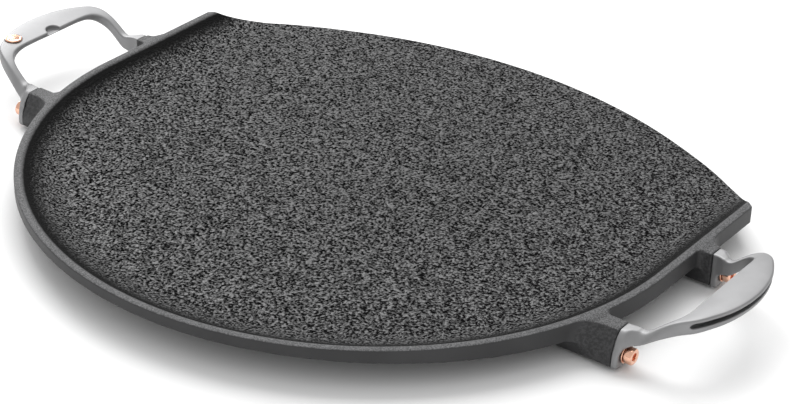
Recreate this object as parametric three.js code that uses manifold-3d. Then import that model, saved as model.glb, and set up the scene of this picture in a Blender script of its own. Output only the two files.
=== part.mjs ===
// Cast-iron griddle plate with two bolted loop handles.
// Millimetres. +Z is up, the plate rests on Z = 0, +X points to the right handle and +Y to the
// open front edge. Pieces are laid out from the centre of the rim's back half-circle, and the whole
// group is then moved so that its origin is at the middle of its footprint.
import * as THREE from 'three';
import { mergeVertices } from 'three/addons/utils/BufferGeometryUtils.js';
import Module from 'manifold-3d';

const wasm = await Module();
wasm.setup();

// ---- Driving dimensions ----

// Plate
const plateHalfWidth = 190;     // middle to the rim's outer face, and radius of the back half-circle
const frontReach = 163.7;       // origin to the middle of the open front edge
const frontEdgeRadius = 286.2;  // plan radius of the open front edge
const frontSwell = 1.6;           // how far that edge swells out near its corners
const frontCut = 4;             // and how far the corners themselves are drawn back
const plateHeight = 22;         // rim top above the surface that the plate rests on
const rimRise = 8.4;            // rim top above the cooking floor
const rimWidth = 4;             // flat top of the rim
const coveWidth = 26;           // hollow curve from the rim down to the floor
const floorThickness = 5;
const skirtBack = 6;            // height of the rim's outer face at the back
const skirtSides = 10;          // and along the sides
const undersideBlend = 24;      // width over which the underside falls from the skirt to the floor
const castEdge = 0.6;           // softened casting edges
const footRingInset = 40;       // rim's outer face to the foot ring
const footRingFrontInset = 13;  // open front edge to the foot ring
const footRingWidth = 6;
const footRingDraft = 1.2;

// Handle lugs, cast on the rim: one pair on each side
const pairOffsetY = -8.1;       // middle of each pair of lugs
const legGap = 41.6;            // half of the clear gap between the two legs of a handle
const lugReach = 7.2;           // lug end face beyond the plate's half width
const lugTopWidth = 5.4;
const lugBaseWidth = 13.6;
const lugDrop = 0.8;            // lug top below the rim top
const lugFloorClearance = 1.5;  // lug bottom above the resting surface
const lugRoot = 26;             // how far a lug runs in under the rim
const innerFillet = 4;          // plan fillets between the lug and the rim
const outerFillet = 9;

// Handles
const footThickness = 3.4;
const legWidth = 5.2;
const gripInner = 35.3;         // grip's inner edge beyond the plate's half width
const gripWidth = 19;
const gripRise = 12;            // grip's inner edge above the rim top
const gripInnerThickness = 2.6;
const gripOuterThickness = 7.4;
const slotHeight = 2.9;
const slotDepth = 12;
const slotDrop = 1.9;           // sheet left above the slot
const slotSlope = 0.05;          // rise of the slot per length inward
const slotHalfLength = 40;
const slotWeb = 5.6;            // metal left between the slot and the inner edge
const notchRadius = 5;
const notchDepth = 1.7;

// Fasteners and medallion
const gap = 0.3;                // clearance between separate pieces
const screwDiameter = 5;
const screwGrip = 12;           // thread length inside the lug
const headDiameter = 8.8;
const headLength = 4.2;
const socketAcrossFlats = 4;
const socketDepth = 2.4;
const washerDiameter = 9.8;
const washerThickness = 0.8;
const screwOut = 7.4;           // screw axis outward of the leg's inner side
const screwDrop = 13.8;         // screw axis below the rim top
const spotFaceMargin = 0.5;     // room around the washer in the handle
const medallionDiameter = 9.6;
const medallionThickness = 1.2;
const medallionProud = 0.6;
const medallionPin = 3.4;
const medallionAlong = 26;      // medallion centre from the middle of the handle

// Facets
const sideSteps = 6;            // along each straight side
const backSteps = 60;           // around the back half-circle
const coveSteps = 6;            // across the cove
const frontSteps = 24;          // along the open front edge
const roundSteps = 24;          // around fasteners
const keySteps = 3;             // between two key sections of a handle

// ---- Derived places ----

const frontCentreY = frontReach - frontEdgeRadius;
const cookingFloor = plateHeight - rimRise;
const underside = cookingFloor - floorThickness;
const lugEnd = plateHalfWidth + lugReach;
const footBack = lugEnd + gap;
const footFace = footBack + footThickness;
const lugBottom = lugFloorClearance - plateHeight;

// ---- Small helpers ----

const lerp = (a, b, t) => a + (b - a) * t;
const smooth = t => THREE.MathUtils.smoothstep(t, 0, 1);

// A closed geometry from a list of triangles, each three [x, y, z] points, turned to face outwards.
function closedGeometry(triangles) {
  const [a, b, c] = [new THREE.Vector3(), new THREE.Vector3(), new THREE.Vector3()];
  let volume = 0;
  const kept = triangles.filter(([p, q, r]) => {
    a.fromArray(p);
    b.fromArray(q);
    c.fromArray(r);
    volume += a.dot(new THREE.Vector3().crossVectors(b, c));
    return b.clone().sub(a).cross(c.clone().sub(a)).length() > 1e-7;
  });
  const facing = volume < 0 ? kept.map(([p, q, r]) => [p, r, q]) : kept;
  const geometry = new THREE.BufferGeometry();
  geometry.setAttribute('position', new THREE.Float32BufferAttribute(facing.flat(2), 3));
  return geometry;
}

// A three.js geometry as a manifold solid.
function solid(geometry) {
  const bare = geometry.clone();
  bare.deleteAttribute('normal');
  bare.deleteAttribute('uv');
  const merged = mergeVertices(bare, 1e-4);
  return new wasm.Manifold(new wasm.Mesh({
    numProp: 3,
    vertProperties: new Float32Array(merged.attributes.position.array),
    triVerts: new Uint32Array(merged.index.array),
  }));
}

// A manifold solid as a named mesh.
function part(name, body, material) {
  const { vertProperties, triVerts, numProp } = body.getMesh();
  const positions = [];
  for (let i = 0; i < vertProperties.length; i += numProp) {
    positions.push(vertProperties[i], vertProperties[i + 1], vertProperties[i + 2]);
  }
  const geometry = new THREE.BufferGeometry();
  geometry.setAttribute('position', new THREE.Float32BufferAttribute(positions, 3));
  geometry.setIndex(Array.from(triVerts));
  geometry.computeVertexNormals();
  const mesh = new THREE.Mesh(geometry, material);
  mesh.name = name;
  return mesh;
}

// Triangles between rings of points; a closed ring joins its last point to its first.
function skin(rings, closed) {
  const triangles = [];
  for (let i = 0; i + 1 < rings.length; i++) {
    const count = rings[i].length;
    for (let j = 0; j < (closed ? count : count - 1); j++) {
      const k = (j + 1) % count;
      triangles.push([rings[i][j], rings[i + 1][j], rings[i + 1][k]]);
      triangles.push([rings[i][j], rings[i + 1][k], rings[i][k]]);
    }
  }
  return triangles;
}

const flip = ([p, q, r]) => [p, r, q];

// A flat cap over a ring, as a fan around its middle.
function cap(ring) {
  const middle = [0, 1, 2].map(axis => ring.reduce((sum, p) => sum + p[axis], 0) / ring.length);
  return ring.map((p, i) => [p, ring[(i + 1) % ring.length], middle]);
}

// A solid lofted through closed rings that all have the same number of points.
function loft(rings) {
  const last = [...rings[rings.length - 1]].reverse();
  return solid(closedGeometry([...skin(rings, true), ...cap(rings[0]), ...cap(last)]));
}

// A solid of revolution about +X through [x, y, z], from [radius, distance along X] pairs.
function turned(profile, x, y, z, side, segments = roundSteps) {
  const points = profile.map(([radius, along]) => new THREE.Vector2(radius, along));
  const geometry = new THREE.LatheGeometry(points, segments);
  geometry.rotateZ(-Math.PI / 2 * side);
  geometry.translate(x * side, y, z);
  return solid(geometry);
}

// An upright cylinder standing on z.
function post(radius, height, x, y, z) {
  const geometry = new THREE.CylinderGeometry(radius, radius, height, roundSteps);
  geometry.rotateX(Math.PI / 2);
  geometry.translate(x, y, z + height / 2);
  return solid(geometry);
}

// ---- Plate ----

function frontY(x) {
  const share = Math.abs(x) / plateHalfWidth;
  const swell = frontSwell * smooth((share - 0.6) / 0.25);
  const cut = frontCut * smooth((share - 0.87) / 0.115);
  return frontCentreY + Math.sqrt(frontEdgeRadius ** 2 - x * x) + swell - cut;
}

// Upper surface at a distance d in from the rim's outer face.
function trayHeight(d) {
  if (d < castEdge) return plateHeight - castEdge + d;
  const fall = 1 - THREE.MathUtils.clamp((d - rimWidth) / coveWidth, 0, 1);
  return cookingFloor + rimRise * fall ** 2;
}

// Lower surface at the same distance, which also depends on the skirt's height there.
function undersideHeight(d, y) {
  const skirt = lerp(skirtBack, skirtSides, smooth((y + plateHalfWidth) / (0.65 * plateHalfWidth)));
  const fall = 1 - THREE.MathUtils.clamp(d / undersideBlend, 0, 1);
  return underside + (plateHeight - skirt - underside) * fall ** 2;
}

// Stations around the rim: up the right side from the front edge, around the back, up the left side.
// Each one gives the plan point at a distance d in from the rim's outer face.
function rimStations(sideSteps, backSteps) {
  const along = (sign, t) => d => {
    const x = plateHalfWidth - d;
    return [sign * x, frontY(x) * t];
  };
  const around = angle => d => {
    const radius = plateHalfWidth - d;
    return [radius * Math.cos(angle), radius * Math.sin(angle)];
  };
  const stations = [];
  for (let i = sideSteps; i > 0; i--) stations.push(along(1, i / sideSteps));
  for (let i = 0; i <= backSteps; i++) stations.push(around(-Math.PI * i / backSteps));
  for (let i = 1; i <= sideSteps; i++) stations.push(along(-1, i / sideSteps));
  return stations;
}

// Distances in from the rim's outer face, over the rim and the cove.
const coveEnd = rimWidth + coveWidth;
const rimDistances = [0, castEdge, rimWidth];
for (let i = 1; i <= coveSteps; i++) rimDistances.push(lerp(rimWidth, coveEnd, i / coveSteps));

// A flat face inside a plan outline, turned up or down.
function face(outline, z, up) {
  const contour = outline.map(([x, y]) => new THREE.Vector2(x, y));
  return THREE.ShapeUtils.triangulateShape(contour, []).map(corners => {
    const [a, b, c] = corners.map(i => contour[i]);
    const facesUp = b.clone().sub(a).cross(c.clone().sub(a)) > 0;
    const triangle = corners.map(i => [...outline[i], z]);
    return facesUp === up ? triangle : flip(triangle);
  });
}

// A solid over the plate's outline, between two height functions of (d, y): bands around the rim and
// the cove, and one flat floor inside them.
function traySolid(upper, lower) {
  const stations = rimStations(sideSteps, backSteps);
  const bands = height => stations.map(place => rimDistances.map(d => {
    const [x, y] = place(d);
    return [x, y, height(d, y)];
  }));
  const top = bands(upper);
  const bottom = bands(lower);
  const last = stations.length - 1;
  const halfFront = plateHalfWidth - coveEnd;
  const front = [];
  for (let i = 0; i <= frontSteps; i++) {
    const x = lerp(-halfFront, halfFront, i / frontSteps);
    front.push([x, frontY(x)]);
  }
  const floor = [...stations.map(place => place(coveEnd)), ...front.slice(1, -1)];
  const [floorTop, floorBottom] = [upper(coveEnd, 0), lower(coveEnd, 0)];
  return solid(closedGeometry([
    ...skin(top, false),
    ...skin(bottom, false).map(flip),
    ...skin([top.map(row => row[0]), bottom.map(row => row[0])], false),
    ...skin([top[0], bottom[0]], false).map(flip),
    ...skin([top[last], bottom[last]], false),
    ...face(floor, floorTop, false),
    ...face(floor, floorBottom, true),
    ...skin([front.map(p => [...p, floorTop]), front.map(p => [...p, floorBottom])], false),
  ]));
}

function footRing() {
  const radius = Math.min(plateHalfWidth - footRingInset, frontReach - footRingFrontInset);
  const height = underside + floorThickness / 2;
  const profile = [
    [radius - footRingWidth, 0], [radius, 0], [radius + footRingDraft, height],
    [radius - footRingWidth - footRingDraft, height], [radius - footRingWidth, 0],
  ];
  const geometry = new THREE.LatheGeometry(profile.map(([r, z]) => new THREE.Vector2(r, z)), backSteps);
  geometry.rotateX(Math.PI / 2);
  return solid(geometry);
}

// ---- Sections shared by the lugs and the handle feet ----

// Points of a four-sided section with bulged sides and rounded corners.
// Corners run inner top, outer top, outer bottom, inner bottom, as [outward, z].
function section(corners, bulges, radius, sideSteps = 4, cornerSteps = 3) {
  const points = [];
  const corner = i => new THREE.Vector2(...corners[(i + 4) % 4]);
  for (let i = 0; i < 4; i++) {
    const [a, b, c] = [corner(i), corner(i + 1), corner(i + 2)];
    const side = b.clone().sub(a);
    const outward = new THREE.Vector2(-side.y, side.x).normalize();
    const trim = Math.min(radius, side.length() * 0.4) / side.length();
    const at = t => a.clone().addScaledVector(side, t).addScaledVector(outward, bulges[i] * 4 * t * (1 - t));
    for (let k = 0; k < sideSteps; k++) points.push(at(lerp(trim, 1 - trim, k / sideSteps)));
    const next = c.clone().sub(b);
    const start = at(1 - trim);
    const end = b.clone().addScaledVector(next, Math.min(radius, next.length() * 0.4) / next.length());
    const trimNext = end.distanceTo(b) / next.length();
    end.addScaledVector(
      new THREE.Vector2(-next.y, next.x).normalize(), bulges[(i + 1) % 4] * 4 * trimNext * (1 - trimNext));
    for (let k = 0; k < cornerSteps; k++) {
      const t = k / cornerSteps;
      points.push(new THREE.Vector2(
        (1 - t) ** 2 * start.x + 2 * t * (1 - t) * b.x + t * t * end.x,
        (1 - t) ** 2 * start.y + 2 * t * (1 - t) * b.y + t * t * end.y));
    }
  }
  return points;
}

// The lug's outline, outward from the leg's inner side and relative to the rim top.
const lugCorners = [
  [0, -lugDrop], [lugTopWidth, -lugDrop], [lugBaseWidth, lugBottom], [0.6, lugBottom],
];
const lugBulges = [0, 3.4, 0.4, 0.4];
const lugCornerRadius = 5;

function lugSection() {
  return section(lugCorners, lugBulges, lugCornerRadius);
}

// ---- Lugs ----

// One lug of the pair on one side of the plate; end is -1 for the back lug and 1 for the front one.
function lug(side, end) {
  const sectionPoints = lugSection();
  const slice = x => sectionPoints.map(p => [
    side * x, pairOffsetY + end * (legGap + p.x), plateHeight + p.y]);
  const inner = plateHalfWidth - lugRoot;
  const boss = loft([slice(inner), slice(lugEnd)]);
  return boss.add(lugWeb(side, end));
}

// The rim's outer face at a height y of the plan.
const rimX = y => (y < 0 ? Math.sqrt(plateHalfWidth ** 2 - y * y) : plateHalfWidth);

// Upright web with plan fillets that run into the rim on both sides of the lug.
function lugWeb(side, end) {
  const y = out => pairOffsetY + end * (legGap + out);
  const room = Math.max(frontY(plateHalfWidth) - y(lugTopWidth) - 1, 1);
  const outer = end > 0 ? Math.min(outerFillet, room) : outerFillet;
  const wall = rimX(y(0));
  const wallIn = rimX(y(-innerFillet));
  const wallOut = rimX(y(lugTopWidth + outer));
  const sink = rimWidth / 2;
  const shape = new THREE.Shape();
  shape.moveTo(wallIn - sink, y(-innerFillet));
  shape.lineTo(wallIn, y(-innerFillet));
  shape.quadraticCurveTo(wall, y(0), Math.min(wall + innerFillet, lugEnd), y(0));
  if (wall + innerFillet < lugEnd) shape.lineTo(lugEnd, y(0));
  shape.lineTo(lugEnd, y(lugTopWidth));
  const wallMid = rimX(y(lugTopWidth));
  if (wallMid + outer < lugEnd) shape.lineTo(wallMid + outer, y(lugTopWidth));
  shape.quadraticCurveTo(wallMid, y(lugTopWidth), wallOut, y(lugTopWidth + outer));
  shape.lineTo(wallOut - sink, y(lugTopWidth + outer));
  const height = skirtSides - lugDrop;
  const geometry = new THREE.ExtrudeGeometry(shape, { depth: height, bevelEnabled: false, curveSegments: 8 });
  geometry.translate(0, 0, plateHeight - lugDrop - height);
  if (side < 0) mirrorX(geometry);
  return solid(geometry);
}

function mirrorX(geometry) {
  const position = geometry.attributes.position;
  for (let i = 0; i < position.count; i += 3) {
    const corners = [0, 2, 1].map(k => [-position.getX(i + k), position.getY(i + k), position.getZ(i + k)]);
    corners.forEach(([x, y, z], k) => position.setXYZ(i + k, x, y, z));
  }
}

const screwY = end => pairOffsetY + end * (legGap + screwOut);
const screwZ = plateHeight - screwDrop;

function screwHole(side, end) {
  const radius = screwDiameter / 2 + gap;
  const start = lugEnd - screwGrip - gap;
  const length = footFace + gap - start;
  return turned([[0, 0], [radius, 0], [radius, length], [0, length]], start, screwY(end), screwZ, side);
}

// Room for the screw head and washer, cut in the handle from the face of its foot outward.
function spotFace(side, end) {
  const radius = washerDiameter / 2 + spotFaceMargin;
  const length = washerThickness + headLength + 2 * gap + spotFaceMargin;
  return turned(
    [[0, 0], [radius, 0], [radius, length], [0, length]], footFace, screwY(end), screwZ, side);
}

const sides = [['right', 1], ['left', -1]];
const ends = [['back', -1], ['front', 1]];

function griddlePlate() {
  let body = traySolid(trayHeight, undersideHeight).add(footRing());
  // Everything above the rim top and the cove, which trims the lugs' roots.
  const aboveTray = traySolid(
    () => plateHeight + lugRoot, d => (d > rimWidth ? trayHeight(d) - castEdge / 2 : plateHeight));
  for (const [, side] of sides) {
    for (const [, end] of ends) {
      body = body.add(lug(side, end).subtract(aboveTray)).subtract(screwHole(side, end));
    }
  }
  return body;
}

// ---- Handles ----

// Key sections of half a handle, from the foot to the middle of the grip. Each has the plan place of the
// inner edge (x, y from the middle of the handle), the plan place of the top's outer edge, the heights of
// both above the rim top, the thickness at both, the crown of the top, the bulge of the outer side and
// how much wider the section is at its base.
function handleKeys() {
  const x0 = footFace;
  const xi = plateHalfWidth + gripInner;
  const xo = xi + gripWidth;
  const reach = xi - x0;
  const leg = (t, drop) => x0 + reach * t + drop;
  const yi = legGap;
  const yo = legGap + legWidth;
  const key = (ix, iy, ox, oy, zi, zo, ti, to, crown, bulge, flare) =>
    ({ ix, iy, ox, oy, zi, zo, ti, to, crown, bulge, flare });
  return [
    key(leg(0, -1), yi - 0.2, leg(0, -1), yo - 0.2, -0.8, -1, 9.5, 7, 0.2, 0.6, 5.4),
    key(leg(0.12, 0), yi - 0.8, leg(0.12, 0), yo - 1, -1.3, -1.5, 9, 6.2, 0.2, 0.3, 4.6),
    key(leg(0.3, 0), yi - 1.4, leg(0.3, 0), yo - 2.2, -1.6, -1.7, 8, 5.2, 0.2, 0.3, 4),
    key(leg(0.5, 0), yi - 1.7, leg(0.5, 0), yo - 2.5, 2.2, 2.2, 7.4, 5.9, 0.2, 0.4, 3),
    key(leg(0.7, 0), yi - 2.4, leg(0.73, 0), yo - 2.9, 0.53 * gripRise, 0.56 * gripRise,
      6.8, 6.8, 0.2, 0.5, 1.6),
    key(leg(0.86, 0), yi - 4.8, leg(1, 0.4), yo - 4.6, 0.75 * gripRise, 0.9 * gripRise,
      5.6, 7.6, 0.3, 0.6, 0.4),
    key(leg(0.96, 0), yi - 8.4, leg(1, 6.8), yo - 8.6, 0.89 * gripRise, gripRise + 0.4,
      4.2, 8.2, 0.6, 0.5, -0.4),
    key(xi - 0.2, yi - 13.4, xo - 7.6, yo - 15.8, 0.97 * gripRise, gripRise + 0.8,
      3, 8.2, 0.9, 0.4, -0.8),
    key(xi, yi - 21, xo - 3.4, yo - 25, gripRise, gripRise + 1.1,
      gripInnerThickness, gripOuterThickness + 0.6, 1.1, 0.4, -1),
    key(xi, yi - 31, xo - 0.9, yo - 35.6, gripRise, gripRise + 1.2,
      gripInnerThickness, gripOuterThickness + 0.2, 1.2, 0.4, -1),
    key(xi, 0, xo, 0, gripRise, gripRise + 1.2, gripInnerThickness, gripOuterThickness, 1.2, 0.4, -1),
  ];
}

// The whole handle's sections, smoothly filled in between the keys and mirrored about its middle.
function handleStations(stepsPerKey) {
  const half = handleKeys();
  const mirrored = half.slice(0, -1).reverse().map(k => ({ ...k, iy: -k.iy, oy: -k.oy }));
  const keys = [...half, ...mirrored];
  const curves = ['i', 'o'].map(edge => new THREE.CatmullRomCurve3(
    keys.map(k => new THREE.Vector3(k[edge + 'x'], k[edge + 'y'], k['z' + edge])), false, 'catmullrom', 0.5));
  const stations = [];
  const count = (keys.length - 1) * stepsPerKey;
  for (let i = 0; i <= count; i++) {
    const t = i / count;
    const k = Math.min(Math.floor(i / stepsPerKey), keys.length - 2);
    const blend = smooth(i / stepsPerKey - k);
    const mix = name => lerp(keys[k][name], keys[k + 1][name], blend);
    stations.push({
      inner: curves[0].getPoint(t), outer: curves[1].getPoint(t),
      ti: mix('ti'), to: mix('to'), crown: mix('crown'), bulge: mix('bulge'), flare: mix('flare'),
    });
  }
  return stations;
}

// The point of a handle at a distance out from the inner edge, in the upright plane of a station.
function handlePoint(station, side, out, z) {
  const { inner, outer } = station;
  const width = Math.hypot(outer.x - inner.x, outer.y - inner.y);
  const t = out / width;
  return [
    side * lerp(inner.x, outer.x, t), pairOffsetY + lerp(inner.y, outer.y, t), plateHeight + z];
}

const stationWidth = ({ inner, outer }) => Math.hypot(outer.x - inner.x, outer.y - inner.y);

function handleLoop(side) {
  const rings = handleStations(keySteps).map(station => {
    const { inner, outer, ti, to, crown, bulge, flare } = station;
    const width = stationWidth(station);
    const corners = [[0, inner.z], [width, outer.z], [width + flare, outer.z - to], [0, inner.z - ti]];
    const points = section(corners, [crown, bulge, 0.3, 0], 1.1, 3, 2);
    return points.map(p => handlePoint(station, side, p.x, p.y));
  });
  return loft(rings);
}

// The foot that sits on a lug, with a softened outer edge.
function handleFoot(side, end) {
  const soften = 0.8;
  const ring = (x, shrink) => section(
    [[shrink, -lugDrop - shrink * 2], [lugTopWidth - shrink, -lugDrop - shrink * 2],
      [lugBaseWidth - shrink, lugBottom + shrink], [0.6 + shrink, lugBottom + shrink]],
    lugBulges, lugCornerRadius).map(p => [
    side * x, pairOffsetY + end * (legGap + p.x), plateHeight + p.y]);
  return loft([ring(footBack, 0), ring(footFace - soften, 0.1), ring(footFace, soften)]);
}

// The long slot in the grip's outer side, with rounded ends.
function gripSlot(side) {
  const stations = handleStations(keySteps).filter(s => Math.abs(s.outer.y) < slotHalfLength);
  const beyond = gripWidth / 2;
  const rings = stations.map(station => {
    const width = stationWidth(station);
    const start = width - Math.min(slotDepth, width - slotWeb);
    const [from, to] = [start, width + beyond];
    const top = at => station.outer.z - slotDrop + slotSlope * (width - at);
    const corners = [
      [from, top(from)], [to, top(to)], [to, top(to) - slotHeight], [from, top(from) - slotHeight]];
    return section(corners, [0, 0, 0, 0], slotHeight / 3, 2, 3)
      .map(p => handlePoint(station, side, p.x, p.y));
  });
  return loft(rings);
}

const medallionX = plateHalfWidth + gripInner + 7.4;
const medallionY = pairOffsetY - medallionAlong;
const medallionSeat = plateHeight + gripRise + 1.4 + medallionProud - medallionThickness;

function handle(side) {
  let body = handleLoop(side).add(handleFoot(side, -1)).add(handleFoot(side, 1)).subtract(gripSlot(side));
  for (const [, end] of ends) body = body.subtract(screwHole(side, end)).subtract(spotFace(side, end));
  return body;
}

function leftHandle() {
  const tall = gripRise;
  const notch = post(
    notchRadius, tall, -(plateHalfWidth + gripInner - 0.4), pairOffsetY, plateHeight + gripRise - notchDepth);
  const seat = post(medallionDiameter / 2 + gap, tall, -medallionX, medallionY, medallionSeat - gap);
  const pinHole = post(
    medallionPin / 2 + gap, medallionThickness + slotDrop + slotHeight / 2, -medallionX, medallionY,
    medallionSeat - slotDrop - slotHeight / 2);
  return handle(-1).subtract(notch).subtract(seat).subtract(pinHole);
}

// ---- Fasteners and medallion ----

function socketScrew(side, end) {
  const shank = screwDiameter / 2;
  const head = headDiameter / 2;
  const tip = lugEnd - screwGrip;
  const underHead = footFace + washerThickness + 2 * gap - tip;
  const length = underHead + headLength;
  const edge = 0.5;
  const profile = [
    [0, 0], [shank - edge, 0], [shank, edge], [shank, underHead], [head - edge / 2, underHead],
    [head, underHead + edge / 2], [head, length - edge], [head - edge, length], [0, length],
  ];
  const body = turned(profile, tip, screwY(end), screwZ, side);
  const socketRadius = socketAcrossFlats / Math.sqrt(3);
  const socket = turned(
    [[0, length - socketDepth], [socketRadius, length - socketDepth], [socketRadius, length + 1], [0, length + 1]],
    tip, screwY(end), screwZ, side, 6);
  return body.subtract(socket);
}

function washer(side, end) {
  const inner = screwDiameter / 2 + gap;
  const outer = washerDiameter / 2;
  const edge = 0.25;
  const profile = [
    [inner, 0], [outer, 0], [outer, washerThickness - edge], [outer - edge, washerThickness],
    [inner, washerThickness], [inner, 0],
  ];
  return turned(profile, footFace + gap, screwY(end), screwZ, side);
}

function medallion() {
  const radius = medallionDiameter / 2;
  const pin = medallionPin / 2;
  const edge = 0.35;
  const length = medallionThickness + slotDrop + 0.6;
  const profile = [
    [0, 0], [pin, 0], [pin, length - medallionThickness], [radius, length - medallionThickness],
    [radius, length - edge], [radius - edge, length], [0, length],
  ];
  const geometry = new THREE.LatheGeometry(profile.map(([r, z]) => new THREE.Vector2(r, z)), roundSteps);
  geometry.rotateX(Math.PI / 2);
  geometry.translate(-medallionX, medallionY, medallionSeat - (length - medallionThickness));
  return solid(geometry);
}

// ---- Assembly ----

const castIron = new THREE.MeshStandardMaterial({ color: 0x3c3c3e, roughness: 0.72, metalness: 0.35 });
const satinSteel = new THREE.MeshStandardMaterial({ color: 0xc9cacc, roughness: 0.34, metalness: 1 });
const copper = new THREE.MeshStandardMaterial({ color: 0xc98664, roughness: 0.22, metalness: 1 });

// The group's own origin is under the middle of its box, on the resting surface.
const griddle = new THREE.Group();
griddle.position.y = (plateHalfWidth - frontReach) / 2;
griddle.add(part('griddle_plate', griddlePlate(), castIron));
griddle.add(part('handle_right', handle(1), satinSteel));
griddle.add(part('handle_left', leftHandle(), satinSteel));
for (const [sideName, side] of sides) {
  for (const [endName, end] of ends) {
    griddle.add(part(`screw_${sideName}_${endName}`, socketScrew(side, end), copper));
    griddle.add(part(`washer_${sideName}_${endName}`, washer(side, end), copper));
  }
}
griddle.add(part('medallion', medallion(), copper));

export default griddle;
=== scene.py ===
"""Cast-iron griddle plate with two bolted loop handles, built round its CAD frame.

Lengths are in metres, +Z is up and the plate rests on Z = 0. +X points to the right handle and +Y
to the open front edge. The rim's back half is a half-circle whose centre is called the rim centre.
"""

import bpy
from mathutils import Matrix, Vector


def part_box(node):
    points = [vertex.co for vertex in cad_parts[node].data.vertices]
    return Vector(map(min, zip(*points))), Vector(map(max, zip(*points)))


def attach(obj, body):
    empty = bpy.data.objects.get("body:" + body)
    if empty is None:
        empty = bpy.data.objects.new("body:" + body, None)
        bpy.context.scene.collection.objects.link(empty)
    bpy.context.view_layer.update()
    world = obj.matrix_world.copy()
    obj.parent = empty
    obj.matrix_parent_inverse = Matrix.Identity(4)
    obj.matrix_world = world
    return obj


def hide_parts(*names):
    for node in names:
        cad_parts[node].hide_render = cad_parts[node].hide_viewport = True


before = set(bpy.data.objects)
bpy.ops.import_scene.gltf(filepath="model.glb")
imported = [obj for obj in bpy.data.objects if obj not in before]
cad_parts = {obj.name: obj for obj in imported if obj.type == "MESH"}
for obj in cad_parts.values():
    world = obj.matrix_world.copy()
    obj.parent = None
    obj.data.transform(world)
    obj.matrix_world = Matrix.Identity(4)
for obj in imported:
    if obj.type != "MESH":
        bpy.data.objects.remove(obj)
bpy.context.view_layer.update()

import math

import bpy
import numpy as np
from bpy.props import FloatProperty, FloatVectorProperty, PointerProperty
from mathutils import Matrix, Vector

bl_info = {
    "name": "Bolted-handle griddle plate",
    "version": (1, 0, 0),
    "blender": (4, 5, 0),
    "location": "View3D > Sidebar > Griddle",
    "description": "Builds a cast-iron griddle plate with two loop handles, and a stage for it",
    "category": "Add Mesh",
}

MM = 0.001
LUG_REACH = 7.2        # lug end face beyond the half width, in millimetres
PLATE_LOW, PLATE_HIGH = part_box("griddle_plate")
SIDES = (("right", 1), ("left", -1))
ENDS = (("back", -1), ("front", 1))


# ---- Sizes and colours ----


def length(default, description):
    """A length property, given in millimetres."""
    return FloatProperty(description=description, default=default * MM, unit="LENGTH", precision=4)


def amount(default, description, low=0.0, high=1.0):
    """A plain number property."""
    return FloatProperty(description=description, default=default, min=low, max=high)


def turn(default, description):
    """An angle property, given in degrees."""
    return FloatProperty(
        description=description, default=math.radians(default), subtype="ANGLE")


def colour(default, description):
    """A colour property."""
    return FloatVectorProperty(
        description=description, default=default, subtype="COLOR", size=3, min=0.0, max=1.0)


class PlateSizes(bpy.types.PropertyGroup):
    """Sizes of the cast plate and its lugs"""

    half_width: length(PLATE_HIGH.x / MM - LUG_REACH, "Middle to the rim's outer face")
    front_reach: length(163.7, "Rim centre to the middle of the open edge")
    front_radius: length(286.2, "Plan radius of the open edge")
    front_swell: length(1.6, "Swell of the open edge near its corners")
    front_cut: length(4, "How far the front corners are drawn back")
    height: length(PLATE_HIGH.z / MM, "Rim top above the resting surface")
    rim_rise: length(8.4, "Rim top above the cooking floor")
    rim_width: length(4, "Flat top of the rim")
    cove_width: length(26, "Hollow curve from the rim down to the floor")
    floor_thickness: length(5, "Thickness of the cooking floor")
    skirt_back: length(6, "Height of the rim's outer face at the back")
    skirt_sides: length(10, "Height of the rim's outer face at the sides")
    underside_blend: length(24, "Width over which the underside falls")
    edge_radius: length(0.7, "Rounding of the casting's edges")
    ring_inset: length(40, "Rim's outer face to the foot ring")
    ring_width: length(6, "Width of the foot ring")
    pair_offset: length(-8.1, "Rim centre to the middle of a pair of lugs")
    leg_gap: length(41.6, "Half of the clear gap between two lugs")
    lug_reach: length(LUG_REACH, "Lug end face beyond the half width")
    lug_top_width: length(5.4, "Width of a lug at its top")
    lug_base_width: length(13.6, "Width of a lug at its base")
    lug_drop: length(0.8, "Lug top below the rim top")
    lug_clearance: length(1.5, "Lug bottom above the resting surface")
    inner_fillet: length(4.5, "Plan fillet on the finger side of a lug")
    outer_fillet: length(10, "Plan fillet on the other side of a lug")


class HandleSizes(bpy.types.PropertyGroup):
    """Sizes of the loop handles"""

    foot_thickness: length(3.4, "Thickness of the foot on each lug")
    leg_width: length(5.2, "Width of a leg")
    grip_inner: length(35.3, "Grip's inner edge beyond the half width")
    grip_width: length(19, "Width of the grip at its middle")
    grip_rise: length(12, "Grip's inner edge above the rim top")
    inner_thickness: length(2.6, "Thickness of the grip's inner edge")
    outer_thickness: length(7.4, "Thickness of the grip's outer edge")
    slot_height: length(2.9, "Height of the slot in the grip's outer edge")
    slot_depth: length(12, "Depth of the slot")
    slot_slope: amount(0.05, "Rise of the slot per length inwards")
    slot_drop: length(1.9, "Metal above the slot")
    slot_half: length(40, "Half of the slot's length")
    slot_web: length(5.6, "Metal between the slot and the inner edge")
    notch_radius: length(5, "Radius of the half-round notch")
    notch_depth: length(1.7, "Depth of the notch")
    edge_radius: length(0.9, "Softening of the handle's edges")


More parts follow.
